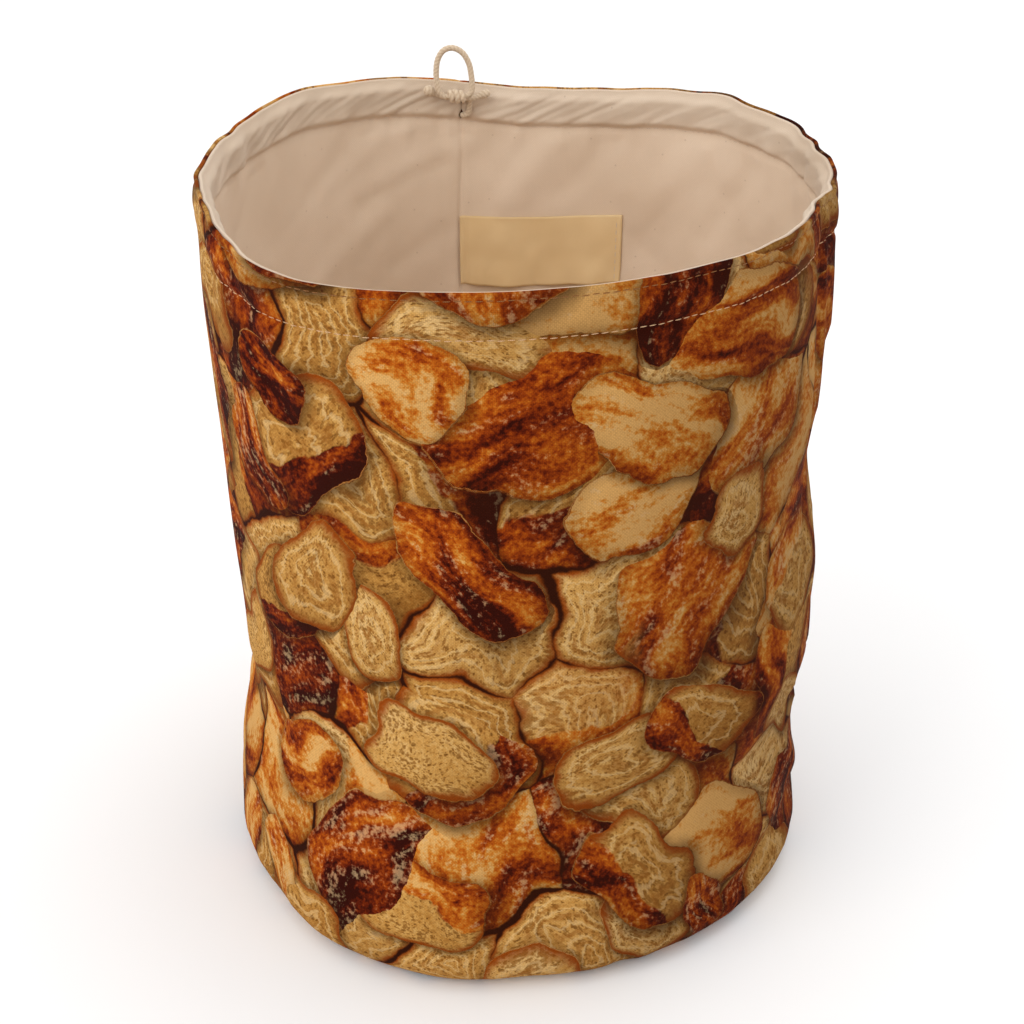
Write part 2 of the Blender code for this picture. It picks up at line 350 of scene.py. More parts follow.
def thicken(piece, thickness):
    """Gives a face layer its thickness, inwards from its outer side."""
    solidify = piece.modifiers.new("cloth", "SOLIDIFY")
    solidify.thickness = thickness * MM
    solidify.offset = -1


class Reading:
    """A socket of a material's nodes. An expression on readings adds its Math nodes."""

    def __init__(self, tree, socket):
        self.tree = tree
        self.socket = socket

    def node(self, kind, settings, inputs, output=0):
        """Adds a node: first its settings, then what its sockets hold or are linked to."""
        made = self.tree.nodes.new(kind)
        for key, value in settings.items():
            if key == "stops":
                while len(made.color_ramp.elements) < len(value):
                    made.color_ramp.elements.new(1)
                for element, (position, colour) in zip(made.color_ramp.elements, value):
                    element.position = position
                    element.color = colour
            else:
                setattr(made, key, value)
        for key, value in inputs.items():
            if isinstance(value, Reading):
                self.tree.links.new(value.socket, made.inputs[key])
            else:
                made.inputs[key].default_value = value
        return Reading(self.tree, made.outputs[output])

    def other(self, output):
        """Another output of the same node."""
        return Reading(self.tree, self.socket.node.outputs[output])

    def math(self, operation, *others):
        return self.node("ShaderNodeMath", {"operation": operation}, dict(enumerate((self, *others))))

    def __add__(self, value):
        return self.math("ADD", value)

    def __sub__(self, value):
        return self.math("SUBTRACT", value)

    def __rsub__(self, value):
        return self.node("ShaderNodeMath", {"operation": "SUBTRACT"}, {0: value, 1: self})

    def __mul__(self, value):
        return self.math("MULTIPLY", value)

    def __truediv__(self, value):
        return self.math("DIVIDE", value)

    def __pow__(self, value):
        return self.math("POWER", value)

    __radd__ = __add__
    __rmul__ = __mul__

    def vector(self, operation, *others):
        return self.node("ShaderNodeVectorMath", {"operation": operation}, dict(enumerate((self, *others))))

    def scaled(self, factor):
        return self.node("ShaderNodeVectorMath", {"operation": "SCALE"}, {0: self, "Scale": factor})

    def part(self, axis):
        """The X, Y or Z of a vector, or the red, green or blue of a colour."""
        return self.node("ShaderNodeSeparateXYZ", {}, {0: self}, output=axis)

    def rising(self, low, high):
        """0 up to low, 1 from high on, and smooth between them."""
        settings = {"interpolation_type": "SMOOTHSTEP"}
        return self.node("ShaderNodeMapRange", settings, {0: self, 1: low, 2: high, 3: 0.0, 4: 1.0})

    def lumps(self, size, detail=2.0, roughness=0.5):
        """Noise from 0 to 1 whose lumps have this size, in the units of this vector."""
        inputs = {"Vector": self, "Scale": 1 / size, "Detail": detail, "Roughness": roughness}
        return self.node("ShaderNodeTexNoise", {"noise_dimensions": "2D"}, inputs)

    def covered(self, under, over):
        """A colour in which over hides under where this mask is 1."""
        return self.node("ShaderNodeMix", {"data_type": "RGBA"}, {0: self, 6: under, 7: over}, output=2)

    def chosen(self, under, over):
        """A vector that is over where this mask is 1, and under elsewhere."""
        return self.node("ShaderNodeMix", {"data_type": "VECTOR"}, {0: self, 4: under, 5: over}, output=1)


def paint(red, green, blue):
    """A colour of the screen, from 0 to 255, as the shader's linear light."""
    light = []
    for level in (red, green, blue):
        share = level / 255
        light.append(share / 12.92 if share < 0.04 else ((share + 0.055) / 1.055) ** 2.4)
    return (*light, 1.0)


def begin_material(name, roughness, sheen=0.0, gloss=0.15):
    """A new cloth material, and its place on the flat cloth in millimetres."""
    material = bpy.data.materials.new(name)
    material.use_nodes = True
    tree = material.node_tree
    shader = tree.nodes["Principled BSDF"]
    shader.inputs["Roughness"].default_value = roughness
    shader.inputs["Sheen Weight"].default_value = sheen
    shader.inputs["Specular IOR Level"].default_value = gloss
    on_cloth = tree.nodes.new("ShaderNodeUVMap")
    on_cloth.uv_map = "UVMap"
    return material, Reading(tree, on_cloth.outputs[0]).scaled(1 / MM)


def end_material(material, colour, height, depth):
    """Links the colour, and the height of the threads, whose full depth is in millimetres."""
    shader = material.node_tree.nodes["Principled BSDF"]
    inputs = {"Strength": 1.0, "Distance": depth * MM, "Height": height}
    relief = height.node("ShaderNodeBump", {}, inputs)
    material.node_tree.links.new(colour.socket, shader.inputs["Base Color"])
    material.node_tree.links.new(relief.socket, shader.inputs["Normal"])


def plain_weave(place, pitch):
    """Height of a plain weave's threads from 0 to 1, with threads of uneven thickness."""
    drift = place.lumps(9.0).scaled(0.5 * pitch)
    moved = place.vector("ADD", drift).scaled(math.pi / pitch)
    warp, weft = moved.part("X").math("SINE"), moved.part("Y").math("SINE")
    over = warp * weft * 0.5 + 0.5
    ridges = (over * warp.math("ABSOLUTE")).math("MAXIMUM", (1 - over) * weft.math("ABSOLUTE"))
    return ridges * 0.55 + over * 0.45


CELL_RANDOMNESS = 0.8
SQUARISH = 2.6
GRAIN_SIZE = 32.0
WANDER_SIZE = 34
WANDER = 22.0
RAGGED_SIZE = 5
RAGGED = 1.8
BED_SPACING = 50
BED_SHIFT = (11, 23, 0)
STREWN = (
    # spacing, shift, half the longest pebble, share of the cells
    (64, (240, 91, 0), 41, 0.85),
    (70, (517, 388, 0), 38, 0.75),
    (58, (93, 655, 0), 30, 0.55),
)
TOASTED = (
    (0.0, paint(48, 9, 3)),
    (0.2, paint(98, 28, 5)),
    (0.42, paint(146, 58, 8)),
    (0.62, paint(178, 90, 18)),
    (0.8, paint(194, 124, 46)),
    (1.0, paint(208, 158, 92)),
)
CREAM = (
    (0.0, paint(146, 94, 36)),
    (0.35, paint(182, 130, 62)),
    (0.65, paint(198, 150, 82)),
    (1.0, paint(212, 172, 112)),
)
GAP_COLOUR = paint(44, 14, 3)
DUST_COLOUR = paint(208, 174, 128)
CRUMB_COLOUR = paint(132, 84, 28)
BAND_COLOUR = paint(150, 92, 32)
PALE_BAND_COLOUR = paint(218, 180, 122)
SKIN_COLOUR = paint(152, 70, 12)


def pebble_cells(place, spacing, shift):
    """Cells of one pebble each: where this is in its cell, turned at random, how lit that side
    of the pebble is from -1 to 1, and three numbers drawn for the pebble."""
    moved = place.vector("ADD", shift)
    inputs = {"Vector": moved, "Scale": 1 / spacing, "Randomness": CELL_RANDOMNESS}
    drawn = moved.node("ShaderNodeTexVoronoi", {"voronoi_dimensions": "2D"}, inputs, output="Color")
    offset = moved.vector("SUBTRACT", drawn.other("Position"))
    inputs = {"Vector": offset, "Angle": drawn.part("X") * (2 * math.pi)}
    turned = moved.node("ShaderNodeVectorRotate", {"rotation_type": "Z_AXIS"}, inputs)
    lit = (offset.part("Y") * 0.9 - offset.part("X") * 0.45) * (2.4 / spacing)
    return moved, turned, lit, drawn


def pebble_bed(place, spacing, shift):
    """Pebbles that fill the ground, with narrow gaps between them."""
    moved, turned, lit, drawn = pebble_cells(place, spacing, shift)
    settings = {"voronoi_dimensions": "2D", "feature": "DISTANCE_TO_EDGE"}
    inputs = {"Vector": moved, "Scale": 1 / spacing, "Randomness": CELL_RANDOMNESS}
    reach = 1 - moved.node("ShaderNodeTexVoronoi", settings, inputs, output="Distance") * 3.2
    reach = reach + (moved.lumps(24.0) - 0.5) * 0.3
    half = spacing / 2
    inputs = {0: turned.part("X") / half, 1: turned.part("Y") / half, 2: reach}
    own = lit.node("ShaderNodeCombineXYZ", {}, inputs)
    return 1 - reach.rising(0.92, 1.0), own, lit, drawn


def strewn_pebbles(place, spacing, shift, longest, kept):
    """Pebbles that lie on others, in this share of the cells, and the shadows that they throw."""
    moved, turned, lit, drawn = pebble_cells(place, spacing, shift)
    half_length = (drawn.part("Y") * 0.4 + 0.6) * longest
    half_width = half_length * (drawn.part("Z") * 0.3 + 0.52)
    x = turned.part("X") / half_length
    y = turned.part("Y") / half_width + x * x * (drawn.part("Z") - 0.5) * 0.6
    reach = (x.math("ABSOLUTE") ** SQUARISH + y.math("ABSOLUTE") ** SQUARISH) ** (1 / SQUARISH)
    there = (drawn.part("X") * 7.3).math("FRACT").math("LESS_THAN", kept)
    own = x.node("ShaderNodeCombineXYZ", {}, {0: x, 1: y, 2: reach})
    shadow = (1 - reach.rising(0.92, 1.32)) * there * (0.75 - lit * 0.3)
    return (1 - reach.rising(0.975, 1.0)) * there, own, lit, drawn, shadow


def pebble_print(place):
    """The print: banded, speckled and toast-brown pebbles that lie over each other, with painted shade over
    the bag's right side.
    """
    inputs = {"Vector": place, "Scale": 1 / WANDER_SIZE, "Detail": 1.0, "Roughness": 0.4}
    wander = place.node("ShaderNodeTexNoise", {"noise_dimensions": "2D"}, inputs, output="Color")
    inputs = {"Vector": place, "Scale": 1 / RAGGED_SIZE, "Detail": 2.0, "Roughness": 0.6}
    ragged = place.node("ShaderNodeTexNoise", {"noise_dimensions": "2D"}, inputs, output="Color")
    wander = wander.scaled(WANDER).vector("ADD", ragged.scaled(RAGGED))
    strewn = place.vector("ADD", wander)
    light, own, lit, drawn = pebble_bed(strewn, BED_SPACING, BED_SHIFT)
    for spacing, shift, longest, kept in STREWN:
        over, over_own, over_lit, over_drawn, shadow = strewn_pebbles(strewn, spacing, shift, longest, kept)
        own = over.chosen(own, over_own)
        drawn = over.chosen(drawn, over_drawn)
        lit = lit + over * (over_lit - lit)
        light = (light * (1 - shadow * 0.8)).math("MAXIMUM", over)
    reach = own.part("Z")
    drawn = drawn.scaled(5.7).vector("FRACTION")
    which, lightness = drawn.part("X"), drawn.part("Y")
    around = place.part("X")
    browner = around.rising(400.0, 510.0)
    # Painted shade: the print is made darker over the bag's right side, as shade from light that comes from
    # the front left.
    painted_shade_right = around.rising(290.0, 500.0) * around.rising(740.0, 600.0)
    kind = drawn.part("Z") + browner * 0.14

    grain = own.scaled(GRAIN_SIZE).vector("ADD", drawn.scaled(900.0))
    stretched = grain.vector("MULTIPLY", (0.5, 1.0, 0.0))
    mottle = stretched.lumps(19.0, detail=4.0, roughness=0.6)
    veins = stretched.lumps(8.0, detail=3.0, roughness=0.55)
    fine = place.lumps(2.4, detail=3.0, roughness=0.65)

    toast = (mottle - 0.5) * 2.2 + (fine - 0.5) * 0.9 + (lightness - 0.5) * 0.75
    toast = toast + lit * 0.12 + 0.56 - browner * 0.08
    brown = toast.node("ShaderNodeValToRGB", {"stops": TOASTED}, {0: toast})
    dusty = (veins * 0.6 + fine * 0.5 + which * 0.12).rising(0.68, 0.82) * 0.45
    brown = dusty.covered(brown, DUST_COLOUR)

    crumb = (mottle - 0.5) * 0.8 + (fine - 0.5) * 0.9 + (lightness - 0.5) * 0.5 + lit * 0.15 + 0.5
    cream = crumb.node("ShaderNodeValToRGB", {"stops": CREAM}, {0: crumb})
    inputs = {"Vector": grain, "Scale": 0.42, "Randomness": 1.0}
    specks = grain.node("ShaderNodeTexVoronoi", {"voronoi_dimensions": "2D"}, inputs, output="Distance")
    size_here = specks.other("Color").part("X") * 0.45 + (mottle - 0.5) * 1.3
    specks = (1 - (specks + (fine - 0.5) * 0.7 - size_here).rising(-0.12, 0.14)) * 0.8
    speck_colour = (fine * 0.8 + mottle * 0.4).rising(0.35, 0.8)
    speck_colour = speck_colour.covered(paint(84, 44, 8), paint(150, 102, 44))
    cream = specks.covered(cream, speck_colour)
    crumbs = (1 - place.lumps(1.7, detail=1.0).rising(0.32, 0.44)) * 0.4
    cream = crumbs.covered(cream, CRUMB_COLOUR)
    rings = (reach * 19.0 + veins * 9.0).math("SINE")
    bands = rings.rising(0.1, 1.0) * which.rising(0.2, 0.24) * mottle.rising(0.35, 0.6) * 0.6
    cream = bands.covered(cream, BAND_COLOUR)
    pale_bands = rings.rising(-0.6, -1.0) * which.rising(0.2, 0.24) * 0.5
    cream = pale_bands.covered(cream, PALE_BAND_COLOUR)
    skin = (reach + (veins - 0.5) * 0.22).rising(0.8, 0.97)
    cream = skin.covered(cream, SKIN_COLOUR)

    rind = (own.part("Y") + own.part("X") * 0.3 + (veins - 0.5) * 0.3).rising(0.18, 0.24)
    is_brown = (rind * kind.rising(0.28, 0.29)).math("MAXIMUM", kind.rising(0.53, 0.54))
    colour = is_brown.covered(cream, brown)
    # Besides each pebble's printed rounding, this holds painted shade that darkens the colour by up to 46%
    # over the bag's right side.
    rounding_and_painted_shade = (lit * 0.14 + 0.98 - reach.rising(0.72, 1.0) * 0.3) * (1 - painted_shade_right * 0.46)
    return (light * rounding_and_painted_shade).covered(GAP_COLOUR, colour)


CANVAS_THREAD = 0.65
printed_canvas, place = begin_material("printed_canvas", roughness=0.85, gloss=0.04)
threads = plain_weave(place, CANVAS_THREAD)
slubs = place.vector("MULTIPLY", place, (1.0, 0.06, 0.0)).lumps(1.4)
slubs = slubs + place.vector("MULTIPLY", place, (0.06, 1.0, 0.0)).lumps(1.4)
colour = pebble_print(place)
grit = place.lumps(1.1, detail=1.0)
tone_factor = (threads * 0.85 + slubs * 0.2 + grit * 0.35).rising(0.2, 1.05) * 0.58 + 0.57
colour = place.node("ShaderNodeMix", {"data_type": "RGBA", "blend_type": "MULTIPLY"},
                    {0: 1.0, 6: colour, 7: tone_factor}, output=2)
end_material(printed_canvas, colour, threads + slubs * 0.5, depth=0.09)

canvas_rows = list(TURNED_IN)
canvas_rows += [(FOOT_ARC * step / FOOT_STEPS, 0.0) for step in range(1, FOOT_STEPS)]
body_height = RIM_RUN - FINE_REACH - FOOT_ARC
canvas_rows += [(FOOT_ARC + body_height * row / BODY_ROWS, 0.0) for row in range(BODY_ROWS)]
fine_height = FINE_REACH - CANVAS_ROLL
canvas_rows += [(RIM_RUN - FINE_REACH + fine_height * row / FINE_ROWS, 0.0) for row in range(FINE_ROWS)]
canvas_rows += [(RIM_RUN - below, inside) for below, inside in over_the_rim(CANVAS_ROLL, CANVAS_ROLL, HEM)]


def on_canvas(angle, run, outwards=0.0):
    """A point on the canvas' outer face, or a little outside it, with all its relief."""
    return wall_point(angle, run, -canvas_relief(angle, run) - outwards)


def canvas_place(column, row):
    """A point of the canvas wall, and where it lies on the flat panel."""
    run, inside = canvas_rows[row]
    angle = BACK_SEAM + 360 * column / CANVAS_COLUMNS
    around = math.radians(360 * column / CANVAS_COLUMNS) * MEAN_RADIUS
    return wall_point(angle, run, inside - canvas_relief(angle, run)), (around * MM, run * MM)


canvas_wall = new_piece("canvas_wall", bent_grid(CANVAS_COLUMNS, len(canvas_rows) - 1, canvas_place),
                        printed_canvas, "printed_canvas", "outer_wall")
thicken(canvas_wall, CANVAS)

STITCH = 2.7
STITCH_GAP = 0.75
STITCH_HALF_WIDTH = 0.21
STITCH_HALF_HEIGHT = 0.231
STITCH_WANDER = 0.12
STITCH_SLANT = 0.1


def sew(bm, start, end, outward):
    """Adds one stitch, a small bow of thread from start to end."""
    forward = end - start
    side = outward.cross(forward).normalized()
    up = forward.cross(side).normalized()
    turned = Matrix((forward / 2, side * STITCH_HALF_WIDTH * MM, up * STITCH_HALF_HEIGHT * MM))
    turned = turned.transposed().to_4x4()
    turned.translation = (start + end) / 2
    bmesh.ops.create_icosphere(bm, subdivisions=2, radius=1.0, matrix=turned)


def sew_round(name, below, surface, colour_of_thread, slot):
    """A row of stitches round the bag at a distance below the rim, on the canvas or the lining."""
    bm = bmesh.new()
    count = round(2 * math.pi * MEAN_RADIUS / (STITCH + STITCH_GAP))
    half = math.degrees(STITCH / 2 / MEAN_RADIUS)
    for i in range(count):
        angle = BACK_SEAM + 360 * (i + 0.5) / count
        run = RIM_RUN - below + STITCH_WANDER * math.sin(i * 2.4)
        start, end = surface(angle - half, run), surface(angle + half, run + STITCH_SLANT)
        sew(bm, start, end, surface(angle, run, 1.0) - surface(angle, run))
    bm.normal_update()
    return new_piece(name, bm, colour_of_thread, slot)


def thread_material(name, light, dark):
    """Soft matt thread, with its twist as fine slanting lines."""
    material, place = begin_material(name, roughness=0.8, sheen=0.1)
    spot = place.node("ShaderNodeTexCoord", {}, {}, output="Object").scaled(1 / MM)
    twist = (spot.part("X") + spot.part("Y") + spot.part("Z")) * 9.0
    twist = twist.math("SINE") * 0.5 + 0.5
    end_material(material, (twist * 0.7 + 0.15).covered(dark, light), twist, depth=0.05)
    return material


canvas_thread = thread_material("canvas_thread", paint(226, 190, 150), paint(168, 122, 80))
rim_thread = thread_material("rim_thread", paint(150, 100, 54), paint(104, 64, 30))
casing_row = sew_round("casing_stitches", CASING, on_canvas, canvas_thread, "printed_canvas")
rim_row = sew_round("rim_stitches", TOP_STITCH, on_canvas, rim_thread, "printed_canvas")

# The canvas base
# A round of the same printed canvas, sewn into the turned foot of the wall. The bag stands
# on it, and its edge turns up into the seam.
BASE_COLUMNS = 144
BASE_RINGS = 24
BASE_UNEVENNESS = 0.35
EVEN_MIDDLE = 20
BASE_LUMP = 30
BASE_LUMP_LENGTH = 26
CANVAS_SEAM = 0.25
CANVAS_EDGE = (
    # in from the edge, up
    (1.2, 0.0),
    (0.4, 0.3),
    (0.0, 1.1),
    (0.0, 2.4),
)


def base_place(edge_inside, gap, levels):
    """Places a round of cloth: flat rings, and then its edge turned up, by these levels: how far
    in from the edge and how high."""
    def place(column, row):
        angle = BACK_SEAM + 360 * column / BASE_COLUMNS
        edge = wall_point(angle, 0, edge_inside)
        reach = edge.xy.length / MM - gap
        if row < BASE_RINGS:
            radius = (reach - levels[0][0]) * row / BASE_RINGS
            uneven = BASE_UNEVENNESS * smooth_step(radius / EVEN_MIDDLE)
            lump = BASE_LUMP * radius / reach + 6
            lift = levels[0][1] + uneven * abs(crumple(angle, radius, lump, BASE_LUMP_LENGTH))
        else:
            inwards, lift = levels[row - BASE_RINGS]
            radius = reach - inwards
        flat = Vector((math.cos(math.radians(angle)), math.sin(math.radians(angle)))) * radius * MM
        return Vector((flat.x, flat.y, lift * MM)), flat
    return place


bm = bent_grid(BASE_COLUMNS, BASE_RINGS + len(CANVAS_EDGE) - 1, base_place(0, CANVAS_SEAM, CANVAS_EDGE))
canvas_base = new_piece("canvas_base", bm, printed_canvas, "printed_canvas", "outer_base")
thicken(canvas_base, CANVAS)

# The lining wall
# Unbleached plain-weave cotton, closed by one seam at the back and sewn to the canvas at the rim
# and at the casing line. Between them it stands off in a puffed band, which the drawcord fills.
LINING_CREASES = (
    # start angle, start height, end angle, end height, half width, out
    (100, 276, 118, 258, 6, -0.9),
    (105, 268, 124, 248, 5, 1.0),
    (112, 284, 132, 262, 7, -0.9),
    (126, 272, 148, 244, 6, 1.1),
    (118, 244, 140, 216, 7, -1.0),
    (138, 258, 160, 226, 6, -0.9),
    (104, 236, 116, 220, 6, 0.8),
    (150, 282, 166, 250, 7, 0.9),
    (146, 222, 168, 196, 8, 0.9),
    (80, 284, 92, 250, 10, -1.1),
    (68, 286, 80, 256, 8, 0.9),
    (50, 280, 64, 246, 10, -1.0),
    (36, 276, 48, 240, 8, 0.9),
    (20, 280, 34, 250, 8, -0.8),
    (62, 232, 44, 200, 9, 0.7),
    (30, 236, 14, 196, 8, -0.8),
    (350, 286, 4, 250, 8, 0.8),
    (176, 276, 190, 240, 8, -0.8),
    (262, 200, 240, 120, 10, -0.8),
    (300, 180, 322, 110, 10, 0.8),
    (90, 140, 112, 80, 10, -0.8),
    (40, 150, 20, 90, 10, 0.8),
)
LINING = 0.45
LINING_THREAD = 0.55
LINING_OUTER = 3.05
LINING_SLANT = 0.35
LINING_RIDGE = 0.4
LINING_PUCKERS = 0.9
LINING_SEAM_RIDGE = 0.7
LINING_SEAM_TROUGH = 0.45
LINING_LUMPS = (
    # out, width, height
    (0.6, 22, 50),
    (0.3, 9, 24),
)
CHANNEL = 2.15
LINING_COLUMNS = 380
CASING_ROWS = 34
SEAM_BOW = 2.2
SEAM_CROWDING = 0.6
LINING_ROLL = 0.4
LINING_ROLL_MIDDLE = 2.35
LINING_LOWER = 0.5
SEAM_BOW_REACH = 30
SLIT_REACH = 4
SLIT_LIP = 0.5
SLIT = (
    # below rim, half width
    (4.4, 0.0),
    (5.4, 1.3),
    (7.2, 1.6),
    (9.0, 0.3),
    (12.0, 0.25),
    (14.2, 1.4),
    (16.2, 0.3),
    (17.0, 0.0),
)


def seam_bow(run):
    """How far the back seam leans to the left, seen from the front, half way up to the casing."""
    return SEAM_BOW * hump(run - RIM_RUN + 86, 62)


def channel(angle, run):
    """How far the lining stands off inwards round the drawcord, between rim and casing line."""
    below = RIM_RUN - run
    puff = 1 + 0.5 * crumple(angle, run, 11, 26) + 0.45 * crumple(angle + run, run, 5, 14)
    return CHANNEL * puff * smooth_step((below - 1.6) / 4.0) * smooth_step((CASING - below) / 3.2)


def lining_relief(angle, run):
    """How far the lining stands out at a place, past its even face: creases, seam, puckers."""
    below = RIM_RUN - run
    height = run - FOOT_ARC + FOOT_TURN
    body = smooth_step((run - 4) / 26) * smooth_step((below - 1) / 4)
    beside_seam = along_from(angle, BACK_SEAM)
    slanted = angle + height * LINING_SLANT
    out = body * lumpy(LINING_LUMPS, slanted, run)
    out += body * creased(LINING_CREASES, angle, height) * smooth_step((below - CASING) / 8)
    out += LINING_RIDGE * hump(below - CASING, 3.4)
    out += LINING_PUCKERS * crumple(angle, run, 5, 40) * hump(below - CASING - 2, 13)
    seam = LINING_SEAM_RIDGE * hump(beside_seam, 1.7) - LINING_SEAM_TROUGH * hump(beside_seam - 4, 5)
    out += body * seam
    return out


def on_lining(angle, run, inwards=0.0):
    """A point on the lining's face towards the inside of the bag, or a little inside it."""
    inside = LINING_OUTER + LINING + channel(angle, run) - lining_relief(angle, run)
    return wall_point(angle, run, inside + inwards)


lining_rows = [(0, LINING_OUTER + 1.6), (0.2, LINING_OUTER + 0.4), (1.2, LINING_OUTER)]
lining_rows += [(FOOT_ARC * step / FOOT_STEPS, LINING_OUTER) for step in range(1, FOOT_STEPS)]
below_casing = RIM_RUN - CASING - 4 - FOOT_ARC
lining_rows += [(FOOT_ARC + below_casing * row / BODY_ROWS, LINING_OUTER) for row in range(BODY_ROWS)]
last_row = lining_rows[-1][0]
casing_height = RIM_RUN - CANVAS_ROLL - LINING_LOWER - last_row
for step in range(1, CASING_ROWS):
    lining_rows.append((last_row + casing_height * step / CASING_ROWS, LINING_OUTER))
rolled_from = len(lining_rows)
for below, inside in over_the_rim(LINING_ROLL, LINING_ROLL_MIDDLE, HEM):
    lining_rows.append((RIM_RUN - below - LINING_LOWER, 2 * LINING_ROLL_MIDDLE - inside))


def lining_place(column, row):
    """A point of the lining wall, with its slit opened, and where it lies on the flat panel."""
    run, inside = lining_rows[row]
    share = column / LINING_COLUMNS
    around = 360 * (share - SEAM_CROWDING * math.sin(2 * math.pi * share) / (2 * math.pi))
    beside = math.radians(around) * MEAN_RADIUS
    on_cloth = (beside * MM, run * MM)
    below = RIM_RUN - run
    in_casing = row < rolled_from
    half = between_rows(SLIT, below)[0] if in_casing else 0.0
    from_seam = along_from(BACK_SEAM + around, BACK_SEAM)
    side = -1 if column > LINING_COLUMNS / 2 else 1
    opened = side * half * math.exp(-abs(from_seam) / SLIT_REACH)
    bowed = seam_bow(run) * math.exp(-abs(from_seam) / SEAM_BOW_REACH)
    angle = BACK_SEAM + around + math.degrees(opened / MEAN_RADIUS)
    lip = SLIT_LIP * half * hump(from_seam, 3)
    puffed = channel(angle, run) if in_casing else 0.0
    inside += puffed + lip - lining_relief(angle, run)
    return wall_point(angle + math.degrees(bowed / MEAN_RADIUS), run, inside), on_cloth


lining_cotton, place = begin_material("lining_cotton", roughness=0.88, sheen=0.12)
threads = plain_weave(place, LINING_THREAD)
slubs = place.vector("MULTIPLY", place, (1.0, 0.05, 0.0)).lumps(1.2)
slubs = slubs + place.vector("MULTIPLY", place, (0.05, 1.0, 0.0)).lumps(1.2)
aged = place.lumps(70.0, detail=3.0)
ecru = (aged * 0.7 + slubs * 0.15).rising(0.25, 0.75).covered(paint(223, 198, 171), paint(241, 218, 193))
seeds = place.node("ShaderNodeTexVoronoi", {"voronoi_dimensions": "2D"},
                   {"Vector": place, "Scale": 0.09, "Randomness": 1.0}, output="Distance")
seeds = (1 - seeds.rising(0.02, 0.05)) * seeds.other("Color").part("X").rising(0.72, 0.76) * 0.25
ecru = seeds.covered(ecru, paint(150, 112, 80))
# Painted shade: the lining is made up to 19% darker from just below the casing line up over the rim, so the
# puffed band reads darker. The thread tone below carries this shade.
painted_band_shade = place.part("Y").rising(RIM_RUN - CASING - 4, RIM_RUN - CASING + 8)
tone_factor = ((threads * 0.5 + slubs * 0.3).rising(0.0, 1.0) * 0.2 + 0.84) * (1 - painted_band_shade * 0.19)
ecru = place.node("ShaderNodeMix", {"data_type": "RGBA", "blend_type": "MULTIPLY"},
                  {0: 1.0, 6: ecru, 7: tone_factor}, output=2)
end_material(lining_cotton, ecru, threads + slubs * 0.6, depth=0.07)

lining_wall = new_piece("lining_sheet", bent_grid(LINING_COLUMNS, len(lining_rows) - 1, lining_place),
                        lining_cotton, "lining_cotton", "lining_wall")
thicken(lining_wall, LINING)

lining_thread = thread_material("lining_thread", paint(232, 214, 192), paint(196, 170, 144))
inner_row = sew_round("casing_stitches_inside", CASING, on_lining, lining_thread, "lining_cotton")

# The lining base
# A round of the lining cotton, sewn to the foot of the lining wall. It lies on the canvas
# base and is what the bread rests on.
LINING_SEAM = 0.4
LINING_EDGE = (
    # in from the edge, up
    (1.4, LINING_OUTER + 0.1),
    (0.4, LINING_OUTER + 0.5),
    (0.2, LINING_OUTER + 1.6),
)
bm = bent_grid(BASE_COLUMNS, BASE_RINGS + len(LINING_EDGE) - 1,
               base_place(LINING_OUTER, LINING_SEAM, LINING_EDGE))
bmesh.ops.reverse_faces(bm, faces=bm.faces)
lining_base = new_piece("lining_round", bm, lining_cotton, "lining_cotton", "lining_base")
thicken(lining_base, LINING)

# The label
# A plain beige woven tape. Its left end is caught in the lining's back seam, its right end is
# sewn down, and its lower edge stands a little off in shallow waves.
LABEL_WIDTH = 73
LABEL_HEIGHT = 32
LABEL_RISE = 213
LABEL_TAPE = 0.5
LABEL_RIB = 0.22
LABEL_COLUMNS = 72
LABEL_ROWS = 32
LABEL_END_STITCH = 2.6
LABEL_FIRST_STITCH = 1.6
LABEL_TILT = 0.055
LABEL_LOWER = 2.2
LABEL_SAG = 0.9
LABEL_OFF = 0.75
LABEL_WAVE = 1.9


def label_inwards(across, up):
    """How far the tape stands off the lining, by its distances from the seam and the lower edge."""
    lower = 1 - smooth_step(up / 14)
    ends = smooth_step(across / 9) * smooth_step((LABEL_WIDTH - across) / 12)
    wave = 0.55 + 0.45 * math.sin(across / 7.5) + 0.3 * math.sin(across / 3.1 + 1)
    pressed = hump(across - LABEL_WIDTH + LABEL_END_STITCH, 1.2)
    return LABEL_OFF + LABEL_WAVE * lower * ends * max(0.0, wave) - 0.25 * pressed


def on_label(across, up, inwards):
    """A point on the label, by its distances from the back seam and from the lower edge."""
    run = FOOT_ARC + LABEL_RISE - FOOT_TURN + up + LABEL_TILT * across - LABEL_LOWER
    run -= LABEL_SAG * math.sin(math.pi * across / LABEL_WIDTH) * (1 - up / LABEL_HEIGHT)
    bowed = seam_bow(run) * (1 - across / LABEL_WIDTH)
    angle = BACK_SEAM + math.degrees((bowed - across) / (MEAN_RADIUS - LINING_OUTER))
    return on_lining(angle, run, label_inwards(across, up) + inwards)


def label_place(column, row):
    """A point of the label, whose columns are counted from its free end."""
    across = LABEL_WIDTH * (1 - column / LABEL_COLUMNS)
    up = LABEL_HEIGHT * row / LABEL_ROWS
    return on_label(across, up, 0), (across * MM, up * MM)


label_tape, place = begin_material("label_cloth", roughness=0.6, sheen=0.1)
ribs = place.part("Y") * (math.pi / LABEL_RIB)
ribs = ribs.math("SINE") * 0.5 + 0.5
fine_threads = place.vector("MULTIPLY", place, (0.08, 1.0, 0.0)).lumps(0.9, detail=3.0)
tape = (fine_threads * 0.6 + place.lumps(26.0) * 0.5).rising(0.25, 0.85)
tape = tape.covered(paint(220, 186, 135), paint(234, 204, 156))
end_material(label_tape, tape, ribs * 0.6 + fine_threads, depth=0.05)

bm = bent_grid(LABEL_COLUMNS, LABEL_ROWS, label_place)
bmesh.ops.reverse_faces(bm, faces=bm.faces)
label = new_piece("label_tape", bm, label_tape, "label_cloth", "label")
thicken(label, LABEL_TAPE)

